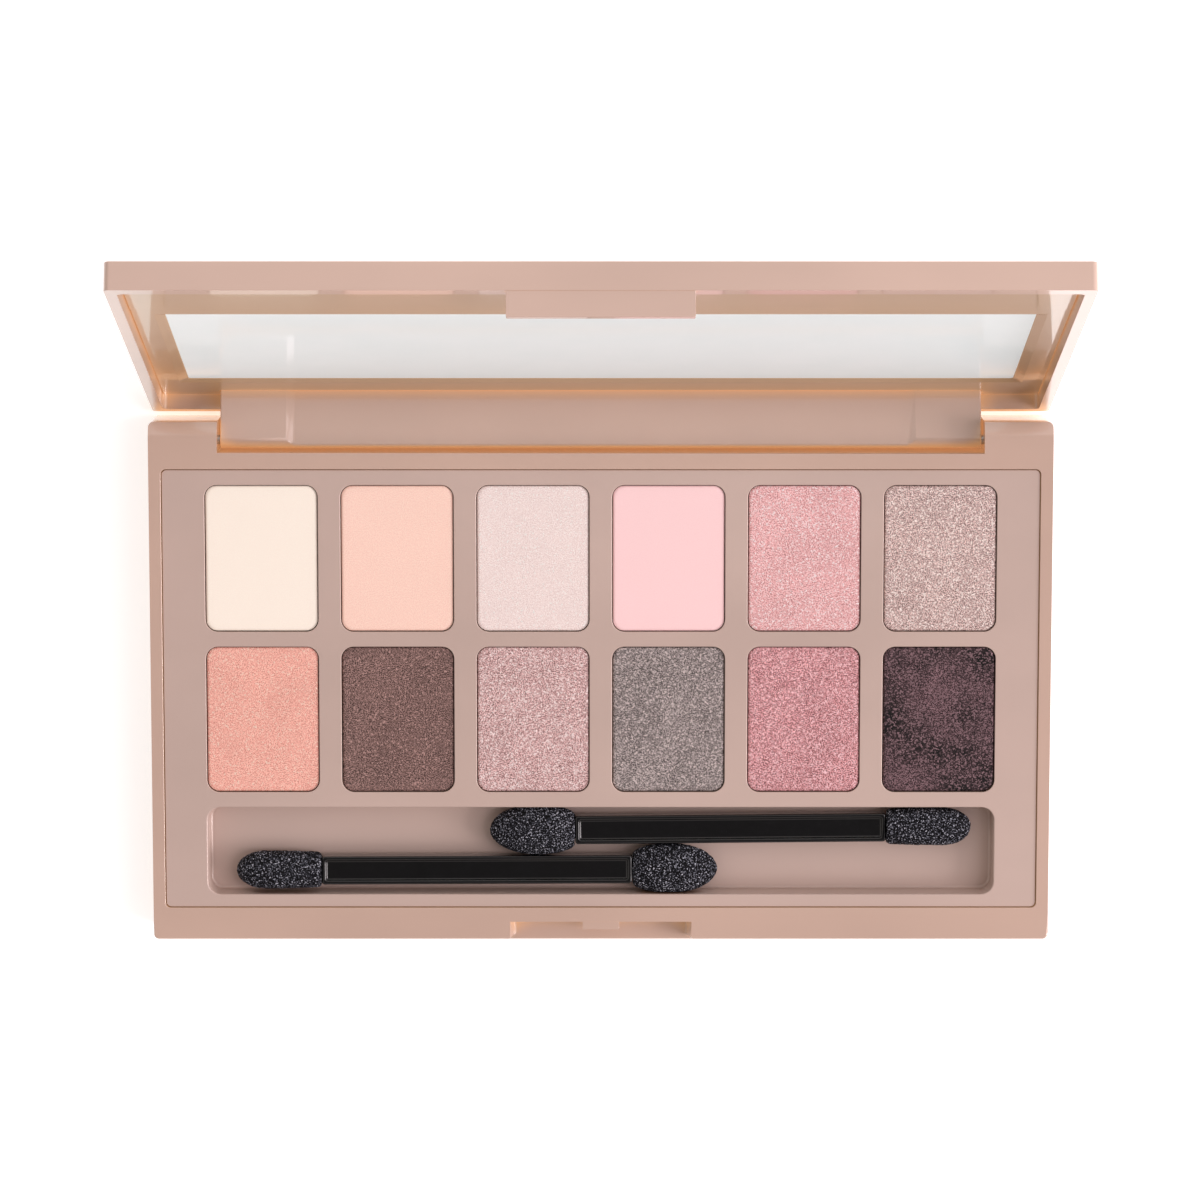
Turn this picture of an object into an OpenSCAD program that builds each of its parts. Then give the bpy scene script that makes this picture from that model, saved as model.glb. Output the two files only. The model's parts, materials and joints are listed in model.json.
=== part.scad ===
/* [Overall] */
// Width of the palette, left to right
palette_w = 140; // [139:0.5:150]
// Depth of the palette, latch side to hinge side
palette_d = 81.4; // [81.2:0.2:90]
// Height of the base, from the table to its rim
base_h = 11; // [11:0.1:13]
// Depth of the lid, from its rim to its outside
lid_h = 4.4; // [4.4:0.1:6]
// How far the lid stands open, measured from closed
lid_open = 108.1; // [0:0.1:112]
// Gap that stays between the two rims when the lid is closed
rim_gap = 0.15; // [0.1:0.05:0.2]
// Corner radius of the outline, seen from above
outline_r = 0.8; // [0.6:0.1:1.6]

/* [Base] */
// Thickness of the base's side walls
side_wall = 1.9; // [1.6:0.1:2]
// Width of the solid bar along the latch side
latch_bar = 5.05; // [4.8:0.05:6]
// Width of the solid bar along the hinge side
hinge_bar = 7.3; // [7.2:0.1:9]
// Thickness of the base's floor
floor_t = 1.2; // [1:0.1:1.3]

/* [Latch] */
// Width of the thumb notch in the base
notch_w = 28.4; // [28.2:0.2:32]
// How far the notch goes back into the latch bar
notch_d = 2.8; // [2.6:0.1:3]
// Width of the lid's latch tab
tab_w = 26.7; // [22:0.1:27]
// How far the tab hangs below the lid's rim
tab_drop = 3.8; // [3.6:0.1:4]
// Thickness of the tab
tab_t = 1.3; // [1.2:0.05:1.35]
// Width of the catch that the tab snaps over
catch_w = 5.7; // [4:0.1:8]

/* [Hinge] */
// Length of the lid's knuckle block
knuckle_w = 118.2; // [110:0.2:118.2]
// Diameter of each hinge pin
pin_d = 1.5; // [1.2:0.1:1.6]
// Length of each hinge pin
pin_l = 15; // [13:0.5:16]
// Radial clearance of the pin in the knuckle
pin_clear = 0.05; // [0.03:0.01:0.08]

/* [Pans] */
// Width of one pan
pan_w = 17.3; // [16:0.1:17.6]
// Depth of one pan, front to back
pan_d = 22.7; // [21:0.1:22.9]
// Height of one pan
pan_h = 3; // [2.5:0.1:3.2]
// Corner radius of one pan
pan_r = 1.8; // [1.4:0.1:3]
// Distance between the pans' centres along a row
col_pitch = 21.05; // [20:0.05:21.3]
// Distance between the two rows
row_pitch = 25.3; // [25:0.1:25.5]

/* [Applicator trough] */
// Length of the trough
trough_w = 122.8; // [118:0.2:124]
// Width of the trough
trough_d = 13.8; // [13.6:0.1:14]
// Depth of the trough below the tray's face
trough_deep = 4.25; // [4.1:0.05:5]

/* [Applicators] */
// Overall length of one applicator
brush_l = 74.6; // [70:0.2:76]
// Width of the flat stem
stem_w = 4.5; // [4.2:0.1:4.8]
// Thickness of the flat stem
stem_t = 2.4; // [2:0.1:2.6]
// Length of the foam tips
tip_l = 13; // [11:0.1:14]
// Width of the oval tip
oval_w = 7.3; // [6.6:0.1:7.3]
// Width of the pointed tip
point_w = 5.7; // [5:0.1:5.8]
// Thickness of both foam tips
tip_t = 4.8; // [4:0.1:5]

/* [Mirror] */
// Width of the mirror
mirror_w = 127; // [120:0.5:128]
// Height of the mirror, hinge side to latch side
mirror_d = 43.2; // [40:0.2:46]
// Thickness of the mirror
mirror_t = 0.6; // [0.5:0.05:0.6]

/* [Hidden] */
$fn = 48;

// The rim of the base is the plane that the closed lid meets.
rear_y = palette_d / 2;
front_y = -rear_y;
hinge_inset = 3.2;
hinge_drop = 5;
hinge_y = rear_y - hinge_inset;
hinge_z = base_h - hinge_drop;
lid_rim_z = base_h + rim_gap;
lid_top_z = base_h + lid_h;

// The pocket in the base that the tray drops into.
pocket_w = palette_w - 2 * side_wall;
pocket_front = front_y + latch_bar;
pocket_rear = rear_y - hinge_bar;
pocket_d = pocket_rear - pocket_front;
pocket_y = (pocket_rear + pocket_front) / 2;

// The tray's face lies a little below the rim.
tray_gap = 0.1;
tray_sink = 0.25;
tray_top = base_h - tray_sink;
tray_plate = 1.2;
tray_wall = 0.8;
tray_r = 0.8;
well_gap = 0.12;
powder_sink = 0.22;
powder_cap = 0.3;
glue_t = 0.1;
glue_d = 11;
powder_top = tray_top - powder_sink;
pan_top = powder_top - powder_cap;
well_floor = pan_top - pan_h - glue_t;
rows_y = 6.8;
trough_y = -26.65;
trough_r = 2;
trough_floor = tray_top - trough_deep;

// Stamped pans, in two rows of six.
pan_cols = 6;
pan_count = 12;
pan_wall = 0.25;

// Notch for the latch tab and the catch inside it.
notch_floor = base_h - 3.9;
notch_back = front_y + notch_d;
notch_slope = 0.7;
lip_w = notch_w + 0.8;
lip_reach = 0.8;
lip_edge = 0.8;
lip_h = 2.6;
catch_top = base_h - 0.05;
catch_h = 1.1;
catch_reach = 1.2;
tab_skin = 0.1;
bead_reach = 0.45;
bead_h = 0.7;
bead_top = catch_top - catch_h - 0.05;
bead_w = tab_w - 2;

// Knuckle block, in the closed lid's place.
barrel_r = 1.4;
barrel_gap = 0.2;
ear_gap = 0.25;
ear_round = 5.05;
knuckle_notch_w = knuckle_w + 2 * ear_gap;
knuckle_notch_y = hinge_y - barrel_r - barrel_gap;
block_end_w = 10.2;
block_step = 0.5;
block_slope = 1.4;
pin_inset = 0.2;
pin_mid_x = palette_w / 2 - pin_inset - pin_l / 2;
knuckle_rear = rear_y - 0.3;
pin_bore_l = 8;
knuckle_bite = 0.3;

// Lid walls and the frame round the mirror.
lid_wall = 1.7;
lid_front_wall = 2.5;
lid_panel = 0.85;
lid_floor_z = lid_top_z - lid_panel;
frame_gap = 0.1;
frame_face_z = lid_rim_z + 2.35;
mirror_y = 7.2;
mirror_r = 0.5;
tape_inset = 6;
bevel_w = 1.5;
bevel_h = 0.3;
frame_step_y = mirror_y - mirror_d / 2 - 4.6;
frame_step_h = 0.12;
mirror_back_z = lid_floor_z - glue_t;
mirror_face_z = mirror_back_z - mirror_t;

// Blank label, let in flush with the underside.
label_w = 96;
label_d = 46;
label_t = 0.15;
label_r = 2;
label_gap = 0.2;

// How far a cutter or a joined piece runs on past the face it meets.
over = 1;

// Where the two applicators lie: x and y of the middle, and turn.
front_brush = [-19.4, -29.85, 0.24];
rear_brush = [20.3, -23.3, 180.52];
stem_l = brush_l - 2 * tip_l;
peg_l = 8;
peg_w = 2.4;
peg_t = 1.4;
stem_edge = 0.7;
stem_dish = 0.5;
stem_r = 0.5;
tip_root = 0.56;
tip_clear = 0.05;
oval_nose = oval_w / 2;
point_nose = 2;
brush_z = trough_floor + tip_t / 2 + tip_clear;

// Pressed powder colours, rear row first, left to right.
SHADES = [
    ["#ffeede", "#fed3c3", "#f3dcd6", "#ffd6d6", "#edb3b2", "#ccafa9"],
    ["#f1ae9e", "#7f625c", "#d0a7a3", "#958683", "#cf9294", "#564042"]
];
SHELL = "#cfae9f";
TRAY = "#c2a598";
ALLOY = "#c9c9c7";
FOAM = "#262628";
STEM = "#0d0d0e";

// A rectangle with true arcs at its corners, centred on the origin.
module round_rect(w, d, r) {
    square([w - 2 * r, d], center = true);
    square([w, d - 2 * r], center = true);
    for (sx = [-1, 1], sy = [-1, 1])
        translate([sx * (w / 2 - r), sy * (d / 2 - r)]) circle(r);
}

module slab(w, d, r, z0, z1) {
    translate([0, 0, z0]) linear_extrude(z1 - z0) round_rect(w, d, r);
}

// A box from its two opposite corners.
module block(a, b) {
    translate(a) cube([b[0] - a[0], b[1] - a[1], b[2] - a[2]]);
}

// A round bar along X, centred on x.
module bar_x(x, y, z, d, l) {
    translate([x, y, z]) rotate([0, 90, 0]) cylinder(d = d, h = l, center = true);
}

// Middle of pan number i, counted from the rear left.
function pan_x(i) = ((i - 1) % pan_cols - (pan_cols - 1) / 2) * col_pitch;
function pan_y(i) = rows_y + (i > pan_cols ? -row_pitch / 2 : row_pitch / 2);
function shade(i) = SHADES[floor((i - 1) / pan_cols)][(i - 1) % pan_cols];

module at_pan(i) {
    translate([pan_x(i), pan_y(i), 0]) children();
}

// ---- Base ----

// The ears beside the knuckle are round about the hinge axis at the top rear.
module ear_corner_cut() {
    difference() {
        block([-palette_w, hinge_y, hinge_z], [palette_w, rear_y + over, base_h + over]);
        bar_x(0, hinge_y, hinge_z, 2 * ear_round, 3 * palette_w);
    }
}

// Notch for the tab, with sloping ends, which leaves a sill below the tab.
module thumb_notch() {
    top = notch_w / 2;
    foot = top - notch_slope;
    translate([0, notch_back, 0]) rotate([90, 0, 0]) linear_extrude(notch_d + over)
        polygon([
            [-foot, notch_floor], [foot, notch_floor], [top, base_h],
            [top, base_h + over], [-top, base_h + over], [-top, base_h]
        ]);
}

// The sill stands out a little in front, as a ledge for the thumb.
module thumb_lip() {
    translate([-lip_w / 2, 0, 0]) rotate([90, 0, 90]) linear_extrude(lip_w)
        polygon([
            [front_y + over, notch_floor], [front_y - lip_reach, notch_floor],
            [front_y - lip_reach, notch_floor - lip_edge], [front_y, notch_floor - lip_h],
            [front_y + over, notch_floor - lip_h]
        ]);
}

module base_body() {
    difference() {
        slab(palette_w, palette_d, outline_r, 0, base_h);
        translate([0, pocket_y, 0]) slab(pocket_w, pocket_d, tray_r, floor_t, base_h + over);
        ear_corner_cut();
        // Open space that the knuckle turns in.
        block([-knuckle_notch_w / 2, knuckle_notch_y, floor_t],
              [knuckle_notch_w / 2, rear_y + over, base_h + over]);
        thumb_notch();
        // Pin holes, drilled in from both sides.
        bar_x(0, hinge_y, hinge_z, pin_d, 2 * palette_w);
        slab(label_w + 2 * label_gap, label_d + 2 * label_gap, label_r + label_gap, -over, label_t);
    }
}

module base_shell() {
    color(SHELL) union() {
        base_body();
        thumb_lip();
        block([-catch_w / 2, notch_back - catch_reach, catch_top - catch_h],
              [catch_w / 2, notch_back + over, catch_top]);
    }
}

module bottom_label() {
    color("white") slab(label_w, label_d, label_r, 0, label_t);
}

// ---- Tray, pans and powders ----

module well_cup(i) {
    at_pan(i) slab(pan_w + 2 * (well_gap + tray_wall), pan_d + 2 * (well_gap + tray_wall),
                   pan_r + tray_wall, well_floor - tray_wall, tray_top);
}

module tray_skirt() {
    difference() {
        slab(pocket_w - 2 * tray_gap, pocket_d - 2 * tray_gap, tray_r, floor_t, tray_top);
        slab(pocket_w - 2 * (tray_gap + tray_plate), pocket_d - 2 * (tray_gap + tray_plate),
             tray_r, floor_t - over, tray_top - tray_plate);
    }
}

module pan_tray() {
    color(TRAY) difference() {
        union() {
            translate([0, pocket_y, 0]) tray_skirt();
            for (i = [1 : pan_count]) well_cup(i);
            translate([0, trough_y, 0])
                slab(trough_w + 2 * tray_wall, trough_d + 2 * tray_wall, trough_r + tray_wall,
                     trough_floor - tray_wall, tray_top);
        }
        for (i = [1 : pan_count])
            at_pan(i) slab(pan_w + 2 * well_gap, pan_d + 2 * well_gap, pan_r + well_gap,
                           well_floor, tray_top + over);
        translate([0, trough_y, 0])
            slab(trough_w, trough_d, trough_r, trough_floor, tray_top + over);
    }
}

// One thin round of adhesive under each pan.
module pan_adhesive() {
    color("#e8e4da")
        for (i = [1 : pan_count])
            at_pan(i) translate([0, 0, well_floor]) cylinder(d = glue_d, h = glue_t);
}

module pan(i) {
    color(ALLOY) at_pan(i) difference() {
        slab(pan_w, pan_d, pan_r, pan_top - pan_h, pan_top);
        slab(pan_w - 2 * pan_wall, pan_d - 2 * pan_wall, pan_r - pan_wall,
             pan_top - pan_h + pan_wall, pan_top + over);
    }
}

// The pressed cake fills its pan and covers the pan's rim.
module powder(i) {
    color(shade(i)) at_pan(i) {
        slab(pan_w - 2 * pan_wall, pan_d - 2 * pan_wall, pan_r - pan_wall,
             pan_top - pan_h + pan_wall, powder_top);
        slab(pan_w, pan_d, pan_r, pan_top, powder_top);
    }
}

// ---- Hinge pins ----

module hinge_pin(side) {
    color("silver") bar_x(side * pin_mid_x, hinge_y, hinge_z, pin_d, pin_l);
}

// ---- Lid, drawn closed and then swung open about the hinge axis ----

module swung_open() {
    translate([0, hinge_y, hinge_z])
        rotate([-lid_open, 0, 0])
            translate([0, -hinge_y, -hinge_z]) children();
}

// The knuckle's front face, seen from above: two proud ends and a lower middle.
module knuckle_plan() {
    face = hinge_y - barrel_r;
    half = knuckle_w / 2;
    step = half - block_end_w;
    polygon([
        [-half, knuckle_rear], [-half, face], [-step, face],
        [-step + block_slope, face + block_step], [step - block_slope, face + block_step],
        [step, face], [half, face], [half, knuckle_rear]
    ]);
}

// Block above the axis and a half-round barrel below it.
module knuckle_side() {
    translate([hinge_y, hinge_z]) circle(barrel_r);
    translate([hinge_y - barrel_r, hinge_z])
        square([knuckle_rear - hinge_y + barrel_r, lid_floor_z + knuckle_bite - hinge_z]);
}

module knuckle_block() {
    intersection() {
        linear_extrude(lid_top_z) knuckle_plan();
        translate([-knuckle_w / 2, 0, 0]) rotate([90, 0, 90])
            linear_extrude(knuckle_w) knuckle_side();
    }
}

module latch_tab() {
    tab_y = front_y + tab_skin;
    tab_z = lid_rim_z - tab_drop;
    block([-tab_w / 2, tab_y, tab_z], [tab_w / 2, tab_y + tab_t, lid_rim_z + over]);
    // Bead along the tab's inner face, which snaps past the catch.
    block([-bead_w / 2, tab_y, bead_top - bead_h],
          [bead_w / 2, tab_y + tab_t + bead_reach, bead_top]);
}

module lid_tub() {
    cavity_front = front_y + lid_front_wall;
    cavity_rear = rear_y - lid_wall;
    difference() {
        slab(palette_w, palette_d, outline_r, lid_rim_z, lid_top_z);
        translate([0, (cavity_front + cavity_rear) / 2, 0])
            slab(palette_w - 2 * lid_wall, cavity_rear - cavity_front, tray_r,
                 lid_rim_z - over, lid_floor_z);
    }
}

module lid_shell() {
    color(SHELL) swung_open() difference() {
        union() {
            lid_tub();
            knuckle_block();
            latch_tab();
        }
        for (sx = [-1, 1])
            bar_x(sx * knuckle_w / 2, hinge_y, hinge_z, pin_d + 2 * pin_clear, 2 * pin_bore_l);
    }
}

// Frame that covers the lid's floor round the mirror, notched round the knuckle.
module frame_outline() {
    front = front_y + lid_front_wall + frame_gap;
    rear = rear_y - lid_wall - frame_gap;
    w = palette_w - 2 * (lid_wall + frame_gap);
    difference() {
        translate([0, (front + rear) / 2]) round_rect(w, rear - front, tray_r);
        translate([-knuckle_w / 2 - frame_gap, hinge_y - barrel_r - frame_gap])
            square([knuckle_w + 2 * frame_gap, palette_d]);
    }
}

module mirror_frame() {
    color(SHELL) swung_open() difference() {
        union() {
            translate([0, 0, frame_face_z])
                linear_extrude(lid_floor_z - frame_face_z) frame_outline();
            // The band over the applicators stands slightly proud.
            intersection() {
                translate([0, 0, frame_face_z - frame_step_h])
                    linear_extrude(2 * frame_step_h) frame_outline();
                block([-palette_w, -palette_d, 0], [palette_w, frame_step_y, lid_top_z]);
            }
        }
        translate([0, mirror_y, 0]) {
            slab(mirror_w + 2 * frame_gap, mirror_d + 2 * frame_gap, mirror_r,
                 frame_face_z - over, lid_floor_z + over);
            bevel_cut();
        }
    }
}

// The surround slopes from the frame's face down to the mirror, with mitred corners.
module bevel_cut() {
    skin = 0.01;
    hull() {
        translate([0, 0, frame_face_z - skin])
            cube([mirror_w + 2 * bevel_w, mirror_d + 2 * bevel_w, 2 * skin], center = true);
        translate([0, 0, frame_face_z + bevel_h])
            cube([mirror_w, mirror_d, 2 * skin], center = true);
    }
}

module mirror_glass() {
    color("#e5e7e9") swung_open() translate([0, mirror_y, 0])
        slab(mirror_w, mirror_d, mirror_r, mirror_face_z, mirror_back_z);
}

module mirror_tape() {
    color("#f2f0ea") swung_open() translate([0, mirror_y, 0])
        slab(mirror_w - tape_inset, mirror_d - tape_inset, mirror_r, mirror_back_z, lid_floor_z);
}

// ---- Sponge applicators, drawn along X about their middle ----

module at_brush(place) {
    translate([place[0], place[1], brush_z]) rotate([0, 0, place[2]]) children();
}

// Flat stem with a raised edge round a shallow channel on both faces, and a peg in each tip.
module brush_stem() {
    difference() {
        translate([0, 0, -stem_t / 2]) linear_extrude(stem_t) round_rect(stem_l, stem_w, stem_r);
        for (sz = [-1, 1]) translate([0, 0, sz * stem_t / 2])
            cube([stem_l - 2 * stem_edge, stem_w - 2 * stem_edge, 2 * stem_dish], center = true);
    }
    cube([stem_l + 2 * peg_l, peg_w, peg_t], center = true);
}

// Foam tip: round nose, full body, flat where it meets the stem, hollow for the peg.
module foam_tip(width, nose) {
    difference() {
        intersection() {
            hull() {
                translate([tip_l - nose, 0, 0])
                    scale([nose, nose, tip_t * 0.42]) sphere(1, $fn = 32);
                translate([width / 2 * tip_root, 0, 0])
                    scale([width / 2, width / 2, tip_t / 2]) sphere(1, $fn = 32);
            }
            translate([tip_l / 2 + tip_clear, 0, 0])
                cube([tip_l, width + over, tip_t + over], center = true);
        }
        cube([2 * peg_l, peg_w, peg_t], center = true);
    }
}

module oval_tip() {
    color(FOAM) translate([stem_l / 2, 0, 0]) foam_tip(oval_w, oval_nose);
}

module pointed_tip() {
    color(FOAM) mirror([1, 0, 0]) translate([stem_l / 2, 0, 0]) foam_tip(point_w, point_nose);
}

module front_applicator_stem() {
    color(STEM) at_brush(front_brush) brush_stem();
}

module front_applicator_oval_tip() {
    at_brush(front_brush) oval_tip();
}

module front_applicator_pointed_tip() {
    at_brush(front_brush) pointed_tip();
}

module rear_applicator_stem() {
    color(STEM) at_brush(rear_brush) brush_stem();
}

module rear_applicator_oval_tip() {
    at_brush(rear_brush) oval_tip();
}

module rear_applicator_pointed_tip() {
    at_brush(rear_brush) pointed_tip();
}

base_shell();
pan_tray();
pan_adhesive();
bottom_label();
pan(1);  // pan_1
pan(2);  // pan_2
pan(3);  // pan_3
pan(4);  // pan_4
pan(5);  // pan_5
pan(6);  // pan_6
pan(7);  // pan_7
pan(8);  // pan_8
pan(9);  // pan_9
pan(10);  // pan_10
pan(11);  // pan_11
pan(12);  // pan_12
powder(1);  // powder_1
powder(2);  // powder_2
powder(3);  // powder_3
powder(4);  // powder_4
powder(5);  // powder_5
powder(6);  // powder_6
powder(7);  // powder_7
powder(8);  // powder_8
powder(9);  // powder_9
powder(10);  // powder_10
powder(11);  // powder_11
powder(12);  // powder_12
hinge_pin(-1);  // hinge_pin_left
hinge_pin(1);  // hinge_pin_right
lid_shell();
mirror_frame();
mirror_glass();  // mirror
mirror_tape();
front_applicator_stem();
front_applicator_oval_tip();
front_applicator_pointed_tip();
rear_applicator_stem();
rear_applicator_oval_tip();
rear_applicator_pointed_tip();
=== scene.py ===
import json
import math

import bmesh
import bpy
import numpy as np
from mathutils import Matrix, Vector, noise


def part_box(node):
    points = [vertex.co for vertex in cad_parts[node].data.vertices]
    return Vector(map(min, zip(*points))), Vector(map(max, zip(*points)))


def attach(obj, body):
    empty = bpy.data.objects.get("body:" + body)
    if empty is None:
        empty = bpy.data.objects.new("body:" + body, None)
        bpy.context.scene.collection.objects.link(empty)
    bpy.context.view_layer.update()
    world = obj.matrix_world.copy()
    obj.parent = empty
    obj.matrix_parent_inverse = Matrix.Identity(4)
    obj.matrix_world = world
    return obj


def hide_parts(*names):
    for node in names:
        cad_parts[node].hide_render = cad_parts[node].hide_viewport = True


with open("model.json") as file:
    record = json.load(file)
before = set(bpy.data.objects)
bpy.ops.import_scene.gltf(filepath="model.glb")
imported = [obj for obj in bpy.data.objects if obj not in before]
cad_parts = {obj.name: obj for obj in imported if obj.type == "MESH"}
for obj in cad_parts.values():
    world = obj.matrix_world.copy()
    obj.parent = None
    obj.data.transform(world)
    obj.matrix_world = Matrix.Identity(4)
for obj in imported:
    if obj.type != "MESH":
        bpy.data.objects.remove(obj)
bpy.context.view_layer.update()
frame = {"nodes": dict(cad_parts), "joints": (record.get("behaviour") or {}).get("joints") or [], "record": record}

SCENE = bpy.context.scene
MM = 0.001

# Slot of each CAD node, as the record gives it.
SLOTS = {s["node"]: s["material_slot"] for s in frame["record"]["subparts"]}


# ---------------------------------------------------------------- node materials

def srgb(r, g, b):
    """A display colour, 0 to 255, as linear RGBA."""
    parts = []
    for c in (r, g, b):
        c /= 255
        parts.append(c / 12.92 if c <= 0.04045 else ((c + 0.055) / 1.055) ** 2.4)
    return (*parts, 1)


class Shader:
    """A node material under construction, placed by each object's own coordinates."""

    def __init__(self, name):
        self.material = bpy.data.materials.new(name)
        self.material.use_nodes = True
        self.tree = self.material.node_tree
        self.bsdf = self.tree.nodes["Principled BSDF"]
        coords = self.node("ShaderNodeTexCoord")
        self.place = coords.outputs["Object"]

    def node(self, kind, **settings):
        made = self.tree.nodes.new(kind)
        for key, value in settings.items():
            setattr(made, key, value)
        return made

    def link(self, source, target):
        self.tree.links.new(source, target)

    def set(self, **sockets):
        """Constants on the shader's own sockets; underscores stand for spaces."""
        for key, value in sockets.items():
            self.bsdf.inputs[key.replace("_", " ")].default_value = value

    def noise(self, scale, detail=2.0, rough=0.5, stretch=(1, 1, 1)):
        mapping = self.node("ShaderNodeMapping")
        mapping.inputs["Scale"].default_value = stretch
        self.link(self.place, mapping.inputs["Vector"])
        tex = self.node("ShaderNodeTexNoise")
        tex.inputs["Scale"].default_value = scale
        tex.inputs["Detail"].default_value = detail
        tex.inputs["Roughness"].default_value = rough
        self.link(mapping.outputs["Vector"], tex.inputs["Vector"])
        return tex.outputs["Fac"]

    def cells(self, scale):
        tex = self.node("ShaderNodeTexVoronoi")
        tex.inputs["Scale"].default_value = scale
        self.link(self.place, tex.inputs["Vector"])
        return tex.outputs["Color"]

    def ramp(self, fac, *stops):
        """stops are (position, colour) pairs."""
        made = self.node("ShaderNodeValToRGB")
        elements = made.color_ramp.elements
        while len(elements) < len(stops):
            elements.new(0.5)
        for element, (position, colour) in zip(elements, stops):
            element.position = position
            element.color = colour
        self.link(fac, made.inputs["Fac"])
        return made.outputs["Color"]

    def span(self, fac, low, high, into_low=0.0, into_high=1.0):
        """fac, from low to high, mapped to a number from into_low to into_high."""
        made = self.node("ShaderNodeMapRange")
        made.inputs["From Min"].default_value = low
        made.inputs["From Max"].default_value = high
        made.inputs["To Min"].default_value = into_low
        made.inputs["To Max"].default_value = into_high
        self.link(fac, made.inputs["Value"])
        return made.outputs["Result"]

    def mix(self, fac, a, b):
        made = self.node("ShaderNodeMix", data_type="RGBA")
        for socket, value in ((made.inputs[0], fac), (made.inputs[6], a), (made.inputs[7], b)):
            if isinstance(value, bpy.types.NodeSocket):
                self.link(value, socket)
            else:
                socket.default_value = value
        return made.outputs[2]

    def bump(self, height, depth, strength=1.0, onto=None):
        made = self.node("ShaderNodeBump")
        made.inputs["Distance"].default_value = depth
        made.inputs["Strength"].default_value = strength
        self.link(height, made.inputs["Height"])
        if onto is not None:
            self.link(onto, made.inputs["Normal"])
        return made.outputs["Normal"]

    def crevice(self, reach):
        """1 in the open, towards 0 in corners narrower than reach."""
        made = self.node("ShaderNodeAmbientOcclusion", samples=8)
        made.inputs["Distance"].default_value = reach
        return made.outputs["AO"]


def pearl_plastic(name, tint, corner, reach, roughness, grain, coat, painted_corner_glow):
    """Moulded pearl plastic: drifting tint and fine grain, with painted shade in corners within reach, where the
    colour turns to corner and glows as painted light.
    """
    s = Shader(name)
    drift = s.noise(38, 3, stretch=(0.5, 1, 1))
    light = [min(1, c * 1.06) for c in tint[:3]] + [1]
    dark = [c * 0.93 for c in tint[:3]] + [1]
    skin = s.ramp(drift, (0.3, dark), (0.7, light))
    # Painted shade and painted glow: occlusion within reach mixes the corner colour into the base colour and into
    # the emission.
    painted_corner_mask = s.span(s.crevice(reach), 0.25, 0.8)
    s.link(s.mix(painted_corner_mask, corner, skin), s.bsdf.inputs["Base Color"])
    s.link(s.mix(painted_corner_mask, corner, (0, 0, 0, 1)), s.bsdf.inputs["Emission Color"])
    s.link(s.span(s.noise(90, 2), 0.3, 0.7, roughness * 0.95, roughness * 1.05),
           s.bsdf.inputs["Roughness"])
    flow = s.bump(s.noise(420, 2, stretch=(0.08, 1, 1)), grain * 1.5, 0.6)
    s.link(s.bump(s.noise(5200, 2), grain, 1.0, onto=flow), s.bsdf.inputs["Normal"])
    s.set(Metallic=0.08, Specular_IOR_Level=0.5, Coat_Weight=coat, Coat_Roughness=0.05,
          Coat_IOR=1.7, Emission_Strength=painted_corner_glow)
    return s.material


def pressed_powder(name, colour, contrast, flakes):
    """Pressed powder. contrast is how far its grains differ, flakes the share of pearl flakes."""
    s = Shader(name)
    grain = s.noise(6200, 2, 0.65)
    low = [c * max(0.08, 1 - 0.9 * contrast) for c in colour[:3]] + [1]
    high = [min(1, c * (1 + 1.25 * contrast)) for c in colour[:3]] + [1]
    body = s.ramp(grain, (0.38, low), (0.5, [*colour[:3], 1]), (0.62, high))
    cloud = s.span(s.noise(160, 3), 0.3, 0.7, 1 - 0.1 * contrast, 1 + 0.08 * contrast)
    shade = s.node("ShaderNodeVectorMath", operation="SCALE")
    s.link(body, shade.inputs[0])
    s.link(cloud, shade.inputs["Scale"])
    channel = s.node("ShaderNodeSeparateColor")
    s.link(s.cells(5200), channel.inputs["Color"])
    flake = s.span(channel.outputs["Red"], 1 - flakes, 1.0)
    # Real pearl flakes, made part metallic below; their brighter colour is also painted glint, sparkle lit from
    # every side.
    flake_and_painted_glint = [min(1, c * (1 + 1.6 * contrast) + 0.04) for c in colour[:3]] + [1]
    s.link(s.mix(flake, shade.outputs["Vector"], flake_and_painted_glint), s.bsdf.inputs["Base Color"])
    s.link(s.span(flake, 0, 1, 0.0, 0.5), s.bsdf.inputs["Metallic"])
    s.link(s.span(flake, 0, 1, 0.85 - 0.2 * flakes, 0.4), s.bsdf.inputs["Roughness"])
    s.link(s.bump(grain, 0.03 * MM * min(1, 0.2 + contrast), 0.8), s.bsdf.inputs["Normal"])
    s.set(Specular_IOR_Level=0.3)
    return s.material


def sponge(name):
    """Black foam with open pores; pale specks painted into its colour stand in for the light its cell walls catch.
    """
    s = Shader(name)
    pores = s.noise(4200, 4, 0.7)
    # Painted highlights: the ramp's two top stops are pale specks of caught light, not the foam's own colour.
    skin = s.ramp(pores, (0.435, srgb(2, 2, 3)), (0.535, srgb(22, 22, 27)),
                  (0.595, srgb(96, 99, 110)), (0.66, srgb(235, 237, 248)))
    s.link(skin, s.bsdf.inputs["Base Color"])
    s.link(s.bump(pores, 0.1 * MM, 1.0), s.bsdf.inputs["Normal"])
    s.set(Roughness=0.7, Specular_IOR_Level=0.1)
    return s.material


def black_gloss(name):
    """Black polished plastic, with faint flow lines along the stem."""
    s = Shader(name)
    s.link(s.ramp(s.noise(260, 3), (0.3, srgb(1, 1, 2)), (0.7, srgb(5, 5, 7))),
           s.bsdf.inputs["Base Color"])
    s.link(s.span(s.noise(1500, 4), 0.3, 0.7, 0.1, 0.18), s.bsdf.inputs["Roughness"])
    s.link(s.bump(s.noise(700, 2, stretch=(0.1, 1, 1)), 0.004 * MM, 0.8), s.bsdf.inputs["Normal"])
    s.set(Coat_Weight=0.5, Coat_Roughness=0.06)
    return s.material


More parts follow.
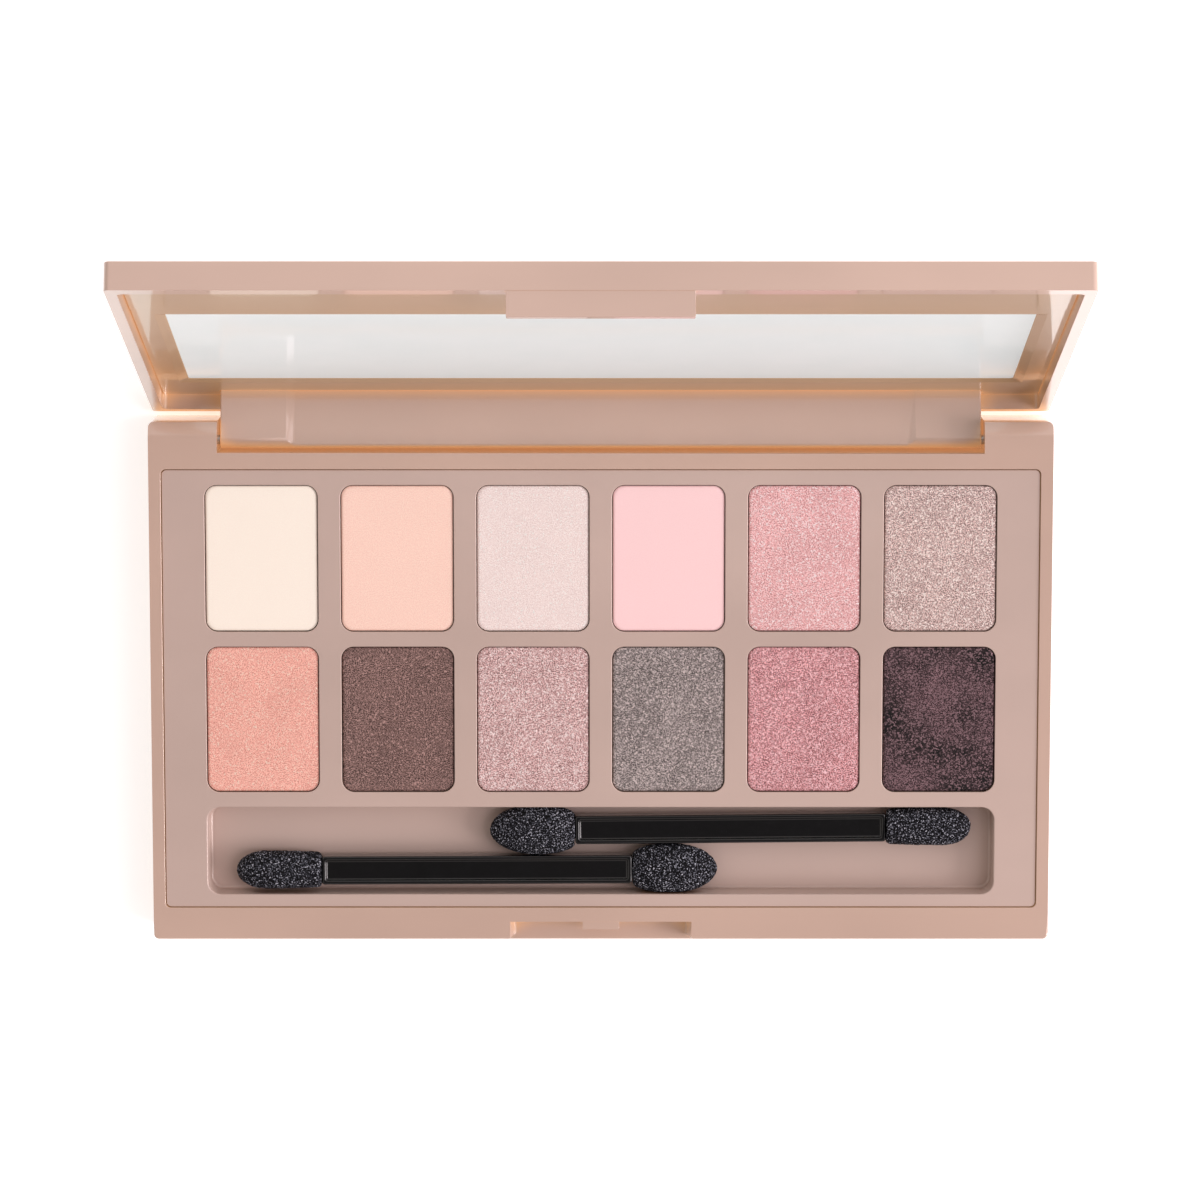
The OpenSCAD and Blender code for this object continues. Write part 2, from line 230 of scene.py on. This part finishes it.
def painted_reflection_mirror(name):
    """A mirror drawn mostly diffuse in pale cyan, as painted reflection of its bright surroundings, with a faint
    real reflection and a faint painted cyan glow.
    """
    s = Shader(name)
    mirror_drift = s.noise(120, 4)
    # Painted reflection: the pale cyan base colour stands in for the bright surroundings the mirror reflects.
    s.link(s.ramp(mirror_drift, (0.3, (0.89, 0.97, 0.98, 1)), (0.7, (0.92, 0.99, 1.0, 1))),
           s.bsdf.inputs["Base Color"])
    s.link(s.span(mirror_drift, 0.3, 0.7, 0.03, 0.06), s.bsdf.inputs["Roughness"])
    # Painted light: the cyan emission is a painted glow.
    s.set(Specular_IOR_Level=0.12, Emission_Color=(0.5, 0.9, 1.0, 1), Emission_Strength=0.1)
    return s.material


def metal(name, colour, roughness, stretch):
    """Bare metal with fine scratches; stretch gives them a direction."""
    s = Shader(name)
    scratches = s.noise(2600, 4, 0.6, stretch)
    s.link(s.ramp(scratches, (0.3, [c * 0.85 for c in colour[:3]] + [1]), (0.7, colour)),
           s.bsdf.inputs["Base Color"])
    s.link(s.span(scratches, 0.3, 0.7, roughness * 0.8, roughness * 1.3),
           s.bsdf.inputs["Roughness"])
    s.link(s.bump(scratches, 0.004 * MM, 0.6), s.bsdf.inputs["Normal"])
    s.set(Metallic=1.0)
    return s.material


def plain_film(name, colour, roughness):
    """A pale label or adhesive film with a faint fibre."""
    s = Shader(name)
    fibre = s.noise(1400, 4)
    s.link(s.ramp(fibre, (0.3, [c * 0.95 for c in colour[:3]] + [1]), (0.7, colour)),
           s.bsdf.inputs["Base Color"])
    s.link(s.bump(fibre, 0.008 * MM, 0.6), s.bsdf.inputs["Normal"])
    s.set(Roughness=roughness)
    return s.material


SHELL_TINT = srgb(210, 180, 163)
# Painted shade: a darker, browner copy of the shell's plastic for the mirror's surround, whose face turns away
# from the lights.
FRAME_PAINTED_SHADE_TINT = srgb(194, 166, 131)
# Painted light: the warm orange shade and glow painted into the shell's corners.
SHELL_PAINTED_CORNER_GLOW = srgb(226, 181, 132)
TRAY_TINT = srgb(201, 178, 167)
# Painted shade: the dark brown painted into the tray's corners and crevices.
TRAY_PAINTED_CORNER_SHADE = srgb(138, 100, 76)


def shell_plastic(tint):
    """The glossy plastic of the base, the lid and the mirror's surround; the surround's tint is a darker copy as
    painted shade.
    """
    return pearl_plastic("shell_plastic", tint, SHELL_PAINTED_CORNER_GLOW, reach=3.2 * MM, roughness=0.3,
                         grain=0.0015 * MM, coat=1.0, painted_corner_glow=0.22)


MATERIALS = {
    "shell_plastic": shell_plastic(SHELL_TINT),
    "tray_plastic": pearl_plastic("tray_plastic", TRAY_TINT, TRAY_PAINTED_CORNER_SHADE, reach=1.2 * MM,
                                  roughness=0.42, grain=0.006 * MM, coat=0.3, painted_corner_glow=0.0),
    "pan_alloy": metal("pan_alloy", srgb(206, 206, 204), roughness=0.35, stretch=(1, 1, 6)),
    "pin_steel": metal("pin_steel", srgb(190, 190, 192), roughness=0.28, stretch=(0.2, 4, 4)),
    "mirror_face": painted_reflection_mirror("mirror_face"),
    "adhesive": plain_film("adhesive", srgb(238, 232, 222), roughness=0.6),
    "label_film": plain_film("label_film", srgb(246, 246, 243), roughness=0.45),
    "stem_plastic": black_gloss("stem_plastic"),
    "tip_foam": sponge("tip_foam"),
}

# Shade of each pan, rear row first, left to right: colour, contrast of grains, share of flakes.
POWDERS = [
    ((255, 245, 231), 0.02, 0),
    ((255, 216, 200), 0.09, 0),
    ((241, 223, 218), 0.18, 0.1),
    ((255, 217, 217), 0.02, 0),
    ((238, 171, 171), 0.66, 0.25),
    ((187, 160, 155), 0.9, 0.35),
    ((246, 173, 158), 0.46, 0.16),
    ((114, 90, 85), 1.2, 0.14),
    ((198, 155, 153), 0.95, 0.35),
    ((121, 113, 111), 1.5, 0.35),
    ((193, 130, 133), 1.1, 0.35),
    ((33, 23, 25), 10, 0.4),
]


# ---------------------------------------------------------------- mesh helpers

def new_object(name, data):
    made = bpy.data.objects.new(name, data)
    SCENE.collection.objects.link(made)
    return made


def mark_creases(mesh, degrees):
    """Smooth shading, broken at the edges sharper than degrees and at those broken already."""
    limit = math.radians(degrees)
    bm = bmesh.new()
    bm.from_mesh(mesh)
    for face in bm.faces:
        face.smooth = True
    for edge in bm.edges:
        if edge.is_manifold and edge.calc_face_angle(0) > limit:
            edge.smooth = False
    bm.to_mesh(mesh)
    bm.free()


def finish_piece(piece, node, body, material=None):
    """Material, slot and body of a piece that stands for a CAD node."""
    slot = SLOTS[node]
    piece.data.materials.clear()
    piece.data.materials.append(material or MATERIALS[slot])
    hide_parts(node)
    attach(piece, body)


def cad_copy(node, name):
    """The node's mesh as clean flat faces, ready for its edges to be rounded."""
    mesh = frame["nodes"][node].data.copy()
    for attribute in [a for a in mesh.attributes if a.name == "custom_normal"]:
        mesh.attributes.remove(attribute)
    bm = bmesh.new()
    bm.from_mesh(mesh)
    bmesh.ops.remove_doubles(bm, verts=bm.verts, dist=0.002 * MM)
    bmesh.ops.dissolve_limit(bm, angle_limit=math.radians(0.6), use_dissolve_boundaries=False,
                             verts=bm.verts, edges=bm.edges)
    bmesh.ops.recalc_face_normals(bm, faces=bm.faces)
    bm.to_mesh(mesh)
    bm.free()
    return new_object(name, mesh)


SHARP = math.radians(28)


def round_edges(piece, width, segments=3, chosen=None, tight=False, apart=()):
    """Rounds the mesh's sharp edges, or those of them whose two ends chosen accepts, in mm.

    An edge with both ends in one of the regions in apart stays as it is. With tight, roundings
    that would meet are narrowed.
    """
    bm = bmesh.new()
    bm.from_mesh(piece.data)
    edges = []
    for edge in bm.edges:
        if not edge.is_manifold or edge.calc_face_angle(0) < SHARP:
            continue
        ends = [tuple(v.co / MM) for v in edge.verts]
        if any(all(region(*end) for end in ends) for region in apart):
            continue
        if chosen is None or all(chosen(*end) for end in ends):
            edges.append(edge)
    for edge in edges:
        edge.smooth = True
    bmesh.ops.bevel(bm, geom=edges, offset=width, offset_type="OFFSET", segments=segments,
                    profile=0.5, affect="EDGES", clamp_overlap=tight, miter_outer="ARC")
    bm.to_mesh(piece.data)
    bm.free()


def shade(piece):
    """Smooth shading that keeps the flat faces flat between their round edges."""
    mark_creases(piece.data, degrees=50)
    weighted = piece.modifiers.new("normals", "WEIGHTED_NORMAL")
    weighted.weight = 80
    weighted.keep_sharp = True


# ---------------------------------------------------------------- camera, floor and lights

WORLD_LEFT = (0.7, 0.65, 0.62, 1)
WORLD_RIGHT = (1.15, 1.06, 1.08, 1)
WORLD_TOP = (0.2, 0.2, 0.2, 1)
WORLD_FRONT = (0.64, 0.62, 0.6, 1)
WORLD_STRENGTH = 0.935


def studio_camera():
    """Almost straight down, from a little behind the palette's middle."""
    lean = math.radians(8.158)
    data = bpy.data.cameras.new("camera")
    data.sensor_width = 36
    data.lens = 153.03
    data.clip_start = 0.01
    camera = new_object("camera", data)
    camera.location = (-0.00012, 0.12534, 0.79462)
    camera.rotation_euler = (-lean, 0, 0)
    SCENE.camera = camera
    SCENE.view_settings.view_transform = "Standard"


def studio_floor():
    """A pale floor just under the base, lit a little from within as in a light tent."""
    half = 1.6
    mesh = bpy.data.meshes.new("floor")
    mesh.from_pydata([(-half, -half, 0), (half, -half, 0), (half, half, 0), (-half, half, 0)],
                     [], [(0, 1, 2, 3)])
    floor = new_object("floor", mesh)
    floor.location.z = -0.02 * MM
    s = Shader("floor")
    s.link(s.ramp(s.noise(3, 2), (0.3, (0.94, 0.96, 0.96, 1)), (0.7, (0.96, 0.98, 0.98, 1))),
           s.bsdf.inputs["Base Color"])
    s.set(Roughness=0.9, Specular_IOR_Level=0.1)
    s.set(Emission_Strength=0.5, Emission_Color=(1, 1, 1, 1))
    mesh.materials.append(s.material)


def softbox(name, place, aim, size, power, colour):
    data = bpy.data.lights.new(name, "AREA")
    data.shape = "RECTANGLE"
    data.size, data.size_y = size
    data.energy = power
    data.color = colour
    light = new_object(name, data)
    light.location = place
    light.rotation_euler = (Vector(aim) - Vector(place)).to_track_quat("-Z", "Y").to_euler()


def studio_lights():
    """A bright pinkish right side, a dimmer left side and a dark ceiling behind the camera."""
    world = bpy.data.worlds.new("studio")
    world.use_nodes = True
    tree = world.node_tree
    background = tree.nodes["Background"]
    coords = tree.nodes.new("ShaderNodeTexCoord")
    axes = tree.nodes.new("ShaderNodeSeparateXYZ")
    tree.links.new(coords.outputs["Generated"], axes.inputs["Vector"])

    def blend_along(axis, start, end, low, high):
        share = tree.nodes.new("ShaderNodeMapRange")
        share.interpolation_type = "SMOOTHSTEP"
        share.inputs["From Min"].default_value = start
        share.inputs["From Max"].default_value = end
        tree.links.new(axes.outputs[axis], share.inputs["Value"])
        mix = tree.nodes.new("ShaderNodeMix")
        mix.data_type = "RGBA"
        mix.inputs[6].default_value = low
        mix.inputs[7].default_value = high
        tree.links.new(share.outputs["Result"], mix.inputs[0])
        return mix.outputs[2]

    sides = blend_along("X", -0.6, 0.7, WORLD_LEFT, WORLD_RIGHT)
    ceiling = blend_along("Z", 0.92, 0.96, (1, 1, 1, 1), WORLD_TOP)
    front = blend_along("Y", -0.7, 0.1, WORLD_FRONT, (1, 1, 1, 1))
    for colour in (ceiling, front):
        product = tree.nodes.new("ShaderNodeMix")
        product.data_type = "RGBA"
        product.blend_type = "MULTIPLY"
        product.inputs[0].default_value = 1
        tree.links.new(sides, product.inputs[6])
        tree.links.new(colour, product.inputs[7])
        sides = product.outputs[2]
    tree.links.new(sides, background.inputs["Color"])
    background.inputs["Strength"].default_value = WORLD_STRENGTH
    SCENE.world = world
    palette = (0, 0, 0.02)
    softbox("key_right", (3.14, -0.6, 1.66), palette, size=(1.4, 1.4), power=66.0,
            colour=(1, 0.92, 0.93))
    softbox("strip_right", (2.2, 0.1, 2.74), palette, size=(0.7, 2.6), power=22.0,
            colour=(1, 0.9, 0.97))


studio_camera()
studio_floor()
studio_lights()


# ---------------------------------------------------------------- mouldings

# Sizes of the CAD model, in mm. Y runs from the front to the rear, and X = 0 is the middle.
BASE_TOP = 11.0
TRAY_TOP = 10.75
LID_RIM = 11.15
FRONT = -40.7
NOTCH_HALF = 14.2
NOTCH_BACK = -37.9
TAB_HALF = 13.35
TAB_SKIN = 0.1
BEAD_HALF = 12.35
TROUGH_Y = -26.65
TROUGH_D = 13.8
TROUGH_DEEP = 4.25
TRAY_LOW, TRAY_HIGH = (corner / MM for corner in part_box("pan_tray"))

# How far a region that picks edges reaches past them, and how exactly it meets a plane.
SLACK = 0.25
EXACT = 0.02

LID_HINGE = next(joint for joint in frame["joints"] if joint["name"] == "lid_hinge")
HINGE = Vector(LID_HINGE["pos_m"])
LID_OPEN = math.radians(-LID_HINGE["range_deg"][0])


def hinge_distance(y, z):
    """Distance from the hinge's axis, in mm."""
    return math.hypot(y - HINGE.y / MM, z - HINGE.z / MM)


def in_pin_bore(x, y, z):
    inner_end, bore_r = 50, 1.2
    return abs(x) > inner_end and hinge_distance(y, z) < bore_r


def on_pocket_rim(x, y, z):
    reach = 0.15
    return (abs(x) < TRAY_HIGH.x + reach and z > BASE_TOP - 2 * SLACK
            and TRAY_LOW.y - reach < y < TRAY_HIGH.y + reach)


def by_catch(x, y, z):
    catch_front, reach = -39.3, 0.1
    return (abs(x) < NOTCH_HALF + reach and z > BASE_TOP - reach
            and catch_front < y < NOTCH_BACK + reach)


def on_ear_back(x, y, z):
    """The rounded top of the corners beside the lid's block."""
    inner_face, front, bottom = 59, 38, 9.4
    return abs(x) > inner_face and y > front and z > bottom


def by_block(x, y, z):
    """The front edges of the recess that the lid's block turns in."""
    recess_front = 35.9
    return abs(y - recess_front) < 0.05


def base_shell():
    """The base. Its narrow gaps, bores and catch leave room for less rounding than the rest."""
    piece = cad_copy("base_shell", "base_moulding")

    def plain(*point):
        special = (in_pin_bore, on_ear_back, by_block, on_pocket_rim, by_catch)
        return not any(region(*point) for region in special)

    round_edges(piece, 0.28 * MM, 4, plain)
    round_edges(piece, 0.1 * MM, 2, on_ear_back, tight=True)
    round_edges(piece, 0.08 * MM, 2, by_block)
    round_edges(piece, 0.1 * MM, 2, on_pocket_rim)
    round_edges(piece, 0.02 * MM, 1, by_catch)
    shade(piece)
    finish_piece(piece, "base_shell", "base")


def pan_tray():
    """The tray, with its trough's walls drafted and filleted to the floor."""
    draft = 0.15 * MM

    def on_floor(x, y, z):
        return abs(z - TRAY_TOP + TROUGH_DEEP) < EXACT

    def outline(x, y, z):
        edge = 0.95
        inside = TRAY_LOW.y + edge < y < TRAY_HIGH.y - edge
        return z > TRAY_TOP - SLACK and (abs(x) > TRAY_HIGH.x - edge or not inside)

    def trough(x, y, z):
        half_w, half_d = 63, TROUGH_D / 2 + 0.5
        return z > TRAY_TOP - SLACK and abs(x) < half_w and abs(y - TROUGH_Y) < half_d

    def wells(x, y, z):
        half_w, front, rear = 64, -18, 32
        return z > TRAY_TOP - SLACK and abs(x) < half_w and front < y < rear

    piece = cad_copy("pan_tray", "tray_moulding")
    for v in piece.data.vertices:
        if on_floor(*(v.co / MM)):
            v.co.x -= math.copysign(draft, v.co.x)
            v.co.y -= math.copysign(draft, v.co.y - TROUGH_Y * MM)
    round_edges(piece, 0.45 * MM, 5, on_floor)
    for width, chosen in ((0.1, outline), (0.22, trough), (0.12, wells)):
        round_edges(piece, width * MM, 3, chosen)
    shade(piece)
    finish_piece(piece, "pan_tray", "base")


def when_closed(y, z):
    """Where a point of the open lid lies on the closed one, in mm."""
    dy, dz = y - HINGE.y / MM, z - HINGE.z / MM
    cos, sin = math.cos(LID_OPEN), math.sin(LID_OPEN)
    return HINGE.y / MM + dy * cos - dz * sin, HINGE.z / MM + dy * sin + dz * cos


def on_lid_rim(x, y, z):
    return abs(when_closed(y, z)[1] - LID_RIM) < EXACT


def on_tab_face(x, y, z):
    on_plane = abs(when_closed(y, z)[0] - FRONT - TAB_SKIN) < EXACT
    return on_plane and abs(x) < TAB_HALF + SLACK


def on_bead(x, y, z):
    closed_y, closed_z = when_closed(y, z)
    by_tab = -39.4 < closed_y < -38.7 and 9.0 < closed_z < 9.9
    return by_tab and abs(x) < BEAD_HALF + SLACK


def lid_shell():
    """The lid. Its tab stands TAB_SKIN behind the front, so the edges there are rounded less."""
    piece = cad_copy("lid_shell", "lid_moulding")
    round_edges(piece, 0.2 * MM, 4, apart=(on_lid_rim, on_tab_face, on_bead))
    round_edges(piece, 0.045 * MM, 4, on_lid_rim)
    round_edges(piece, 0.045 * MM, 4, on_tab_face)
    round_edges(piece, 0.1 * MM, 4, on_bead)
    shade(piece)
    finish_piece(piece, "lid_shell", "lid")


def swing_open(mesh):
    """Turns a mesh drawn on the closed lid, in mm, to where the open lid has it."""
    mesh.transform(Matrix.Translation(HINGE) @ Matrix.Rotation(-LID_OPEN, 4, "X")
                   @ Matrix.Translation(-HINGE) @ Matrix.Scale(MM, 4))


def relief(name, xs, ys, kept, height, back):
    """A plate over the grid's kept cells: face at height(x, y), flat back, walls all round."""
    vertices, faces = [], []
    front, rear = {}, {}

    def vertex(store, i, j, z):
        if (i, j) not in store:
            store[i, j] = len(vertices)
            vertices.append((xs[i], ys[j], z))
        return store[i, j]

    cells = {(i, j) for i in range(len(xs) - 1) for j in range(len(ys) - 1)
             if kept((xs[i] + xs[i + 1]) / 2, (ys[j] + ys[j + 1]) / 2)}
    for i, j in sorted(cells):
        corners = [(i, j), (i + 1, j), (i + 1, j + 1), (i, j + 1)]
        low = [vertex(front, a, b, height(xs[a], ys[b])) for a, b in corners]
        high = [vertex(rear, a, b, back) for a, b in corners]
        heights = [height(xs[a], ys[b]) for a, b in corners]
        # A cell that isn't flat is split along its mitre, through the corner that stands out.
        if abs(heights[0] + heights[2] - heights[1] - heights[3]) < 1e-6:
            faces.append(low[::-1])
        elif abs(heights[0] - heights[2]) > 1e-6:
            faces += [(low[2], low[1], low[0]), (low[3], low[2], low[0])]
        else:
            faces += [(low[3], low[1], low[0]), (low[3], low[2], low[1])]
        faces.append(high)
        for side, (di, dj) in enumerate([(0, -1), (1, 0), (0, 1), (-1, 0)]):
            if (i + di, j + dj) not in cells:
                after = (side + 1) % 4
                faces.append((low[side], low[after], high[after], high[side]))
    mesh = bpy.data.meshes.new(name)
    mesh.from_pydata(vertices, [], faces)
    return mesh


def mirror_frame():
    """The mirror's surround: a flat face, a mitred slope to the mirror, a proud front band."""
    # Sizes on the closed lid, in mm.
    face_z, back_z = 13.5, 14.55
    half_w, half_d, middle_y = 63.5, 21.6, 7.2
    slope_w, slope_h = 1.5, 0.3
    front_y, rear_y, side_x = -38.1, 38.9, 68.2
    band_y, band_h, band_run = -19.0, 0.12, 0.12
    notch_x, notch_y = 59.2, 36.0

    def height(x, y):
        out = max(abs(x) - half_w, abs(y - middle_y) - half_d)
        slope = slope_h * min(1.0, max(0.0, 1 - out / slope_w))
        band = band_h * min(1.0, max(0.0, (band_y - y) / band_run))
        return face_z + slope - band

    def kept(x, y):
        in_window = abs(x) < half_w and abs(y - middle_y) < half_d
        in_notch = abs(x) < notch_x and y > notch_y
        return not (in_window or in_notch)

    xs = [-side_x, -half_w - slope_w, -half_w, -notch_x, 0,
          notch_x, half_w, half_w + slope_w, side_x]
    ys = [front_y, band_y - band_run, band_y,
          middle_y - half_d - slope_w, middle_y - half_d, middle_y,
          middle_y + half_d, middle_y + half_d + slope_w, notch_y, rear_y]
    mesh = relief("mirror_surround", xs, ys, kept, height, back_z)
    swing_open(mesh)
    mark_creases(mesh, degrees=8)
    piece = new_object("mirror_surround", mesh)
    round_edges(piece, 0.12 * MM, 3)
    shade(piece)
    # The surround takes the shell plastic with its darker tint, as painted shade.
    finish_piece(piece, "mirror_frame", "lid", shell_plastic(FRAME_PAINTED_SHADE_TINT))


def mirror():
    """The mirror's plate, its edge ground round."""
    piece = cad_copy("mirror", "mirror_plate")
    round_edges(piece, 0.06 * MM, 2)
    shade(piece)
    finish_piece(piece, "mirror", "lid")


base_shell()
pan_tray()
lid_shell()
mirror_frame()
mirror()


# ---------------------------------------------------------------- pressed powders

def rounded_square(half_w, half_d, radius, count_w, count_d):
    """A grid of points, warped so that its outer ring is a rectangle with round corners."""
    us = np.linspace(-1, 1, count_w)
    vs = np.linspace(-1, 1, count_d)
    u, v = np.meshgrid(us, vs, indexing="ij")
    ring = np.maximum(np.maximum(abs(u), abs(v)), 1e-9)
    x = u / ring * half_w
    y = v / ring * half_d
    over_x = abs(x) - (half_w - radius)
    over_y = abs(y) - (half_d - radius)
    corner = (over_x > 0) & (over_y > 0)
    along = np.where(abs(u) >= abs(v), over_y, 2 * radius - over_x)
    angle = along / (2 * radius) * (math.pi / 2)
    x = np.where(corner, np.sign(x) * (half_w - radius + radius * np.cos(angle)), x)
    y = np.where(corner, np.sign(y) * (half_d - radius + radius * np.sin(angle)), y)
    return x * ring, y * ring, ring


def grid_ring(count_w, count_d):
    """Indices of the grid's outer ring, in order."""
    ring = [(i, 0) for i in range(count_w)]
    ring += [(count_w - 1, j) for j in range(1, count_d)]
    ring += [(i, count_d - 1) for i in range(count_w - 2, -1, -1)]
    ring += [(0, j) for j in range(count_d - 2, 0, -1)]
    return [i * count_d + j for i, j in ring]


def cake_faces(count_w, count_d, outer):
    """The grid's cells, a skirt from its outer ring to a ring of points below, and a bottom."""
    faces = []
    for i in range(count_w - 1):
        for j in range(count_d - 1):
            a = i * count_d + j
            faces.append((a, a + count_d, a + count_d + 1, a + 1))
    first = count_w * count_d
    total = len(outer)
    for k in range(total):
        after = (k + 1) % total
        faces.append((outer[after], outer[k], first + k, first + after))
    faces.append(tuple(first + k for k in range(total))[::-1])
    return faces


def powder_cake(number):
    """One pressed cake: a grained top that sinks a little at its rim, on the CAD cake's sides."""
    corner_r, rim, sink = 1.8 * MM, 0.45 * MM, 0.16 * MM
    clearance, skirt = 0.03 * MM, 0.3 * MM
    node = f"powder_{number}"
    low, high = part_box(node)
    middle = (low + high) / 2
    half_w = (high.x - low.x) / 2
    half_d = (high.y - low.y) / 2
    colour, contrast, flakes = POWDERS[number - 1]
    count_w, count_d = 97, 127
    x, y, ring = rounded_square(half_w, half_d, corner_r, count_w, count_d)
    rng = np.random.default_rng(40 + number)
    inside = np.clip((1 - ring) * half_w / rim, 0, 1)
    shoulder = sink * (1 - np.sqrt(1 - (1 - inside) ** 2))
    grain = rng.normal(0, 1, x.shape) * (0.0015 + 0.02 * min(1, contrast)) * MM
    z = high.z - clearance - shoulder + grain * inside
    top = np.stack([x + middle.x, y + middle.y, z], -1).reshape(-1, 3)
    outer = grid_ring(count_w, count_d)
    foot = top[outer].copy()
    foot[:, 2] = high.z - skirt
    vertices = np.concatenate([top, foot]).tolist()
    mesh = bpy.data.meshes.new(f"powder_cake_{number}")
    mesh.from_pydata(vertices, [], cake_faces(count_w, count_d, outer))
    mark_creases(mesh, degrees=60)
    piece = new_object(f"powder_cake_{number}", mesh)
    material = pressed_powder(SLOTS[node], srgb(*colour), contrast, flakes)
    finish_piece(piece, node, "base", material)


for pan_number in range(1, len(POWDERS) + 1):
    powder_cake(pan_number)


# ---------------------------------------------------------------- applicators

# Shape of each kind of tip, over its length from root to nose: where it is widest, how far the
# curve behind that and the curve to the nose reach, how square they are, and the foam's swell
# over the CAD tip's width.
TIPS = {
    "oval": {"widest": 0.43, "back": 0.575, "nose": 0.57, "power": 2.1, "swell": 1.09},
    "pointed": {"widest": 0.64, "back": 1.6, "nose": 0.36, "power": 2.2, "swell": 1.06},
}


def foam_profile(tip, t):
    """Half-width and half-thickness of a tip, as shares of the largest, at t from root to nose."""
    beyond = t - tip["widest"]
    reach = beyond / tip["nose"] if beyond > 0 else -beyond / tip["back"]
    w = max(0.0, 1 - min(1.0, reach) ** tip["power"]) ** 0.5
    w *= 1 - 0.12 * max(0.0, 1 - t / 0.05) ** 2
    return w, w ** 1.25


def rounded_unit(angle):
    """The point at angle on a circle drawn a little towards a square."""
    squareness = 0.9
    return [math.copysign(abs(c) ** squareness, c) for c in (math.cos(angle), math.sin(angle))]


def tube_faces(rings, spokes):
    """A closed tube of quads between rings of points, with a flat face at each end."""
    faces = []
    for first in range(0, (rings - 1) * spokes, spokes):
        for spoke in range(spokes):
            a = first + spoke
            b = first + (spoke + 1) % spokes
            faces.append((a, b, b + spokes, a + spokes))
    faces.append(tuple(range(spokes))[::-1])
    faces.append(tuple((rings - 1) * spokes + spoke for spoke in range(spokes)))
    return faces


def foam_tip(side, kind):
    """A sponge tip: a closed tube of rings, roughened by cell-sized noise."""
    rings, spokes = 150, 132
    crowding = 1.35
    wall_gap = 0.15
    tip = TIPS[kind]
    node = f"{side}_applicator_{kind}_tip"
    stem_low, stem_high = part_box(f"{side}_applicator_stem")
    low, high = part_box(node)
    middle = (low + high) / 2
    towards = 1 if middle.x > (stem_low.x + stem_high.x) / 2 else -1
    length = (high.x - low.x) * 1.03
    width = (high.y - low.y) / 2 * tip["swell"]
    thick = (high.z - low.z) / 2
    root_x = low.x if towards > 0 else high.x
    points = []
    for ring in range(rings):
        t = 1 - (1 - ring / (rings - 1)) ** crowding
        w, h = foam_profile(tip, t)
        for spoke in range(spokes):
            across, up = rounded_unit(2 * math.pi * spoke / spokes)
            points.append((root_x + towards * t * length, middle.y + w * width * across,
                           middle.z + h * thick * up))
    mesh = bpy.data.meshes.new(f"{side}_{kind}_sponge")
    mesh.from_pydata(points, [], tube_faces(rings, spokes))
    bm = bmesh.new()
    bm.from_mesh(mesh)
    bmesh.ops.remove_doubles(bm, verts=bm.verts, dist=0.01 * MM)
    bmesh.ops.recalc_face_normals(bm, faces=bm.faces)
    bm.normal_update()
    offsets = []
    for v in bm.verts:
        fine = noise.noise(v.co * 3400)
        coarse = noise.noise(v.co * 1500)
        offsets.append(v.normal * (0.07 * fine + 0.06 * coarse - 0.05) * MM)
    # Foam below the tray's face keeps clear of the trough's walls.
    front = (TROUGH_Y - TROUGH_D / 2 + wall_gap) * MM
    rear = (TROUGH_Y + TROUGH_D / 2 - wall_gap) * MM
    for v, offset in zip(bm.verts, offsets):
        v.co += offset
        if v.co.z < TRAY_TOP * MM:
            v.co.y = max(front, min(rear, v.co.y))
    bm.to_mesh(mesh)
    bm.free()
    mark_creases(mesh, degrees=70)
    piece = new_object(f"{side}_{kind}_sponge", mesh)
    finish_piece(piece, node, f"{side}_applicator")


def stem(side):
    """An applicator's stem, with its moulded edges rounded."""
    node = f"{side}_applicator_stem"
    piece = cad_copy(node, f"{side}_stem")
    round_edges(piece, 0.28 * MM, 4)
    shade(piece)
    finish_piece(piece, node, f"{side}_applicator")


for applicator in ("front", "rear"):
    stem(applicator)
    foam_tip(applicator, "oval")
    foam_tip(applicator, "pointed")


# ---------------------------------------------------------------- materials of the CAD nodes

for node_name, cad_object in frame["nodes"].items():
    slot_name = SLOTS[node_name]
    if slot_name in MATERIALS:
        cad_object.data.materials.clear()
        cad_object.data.materials.append(MATERIALS[slot_name])
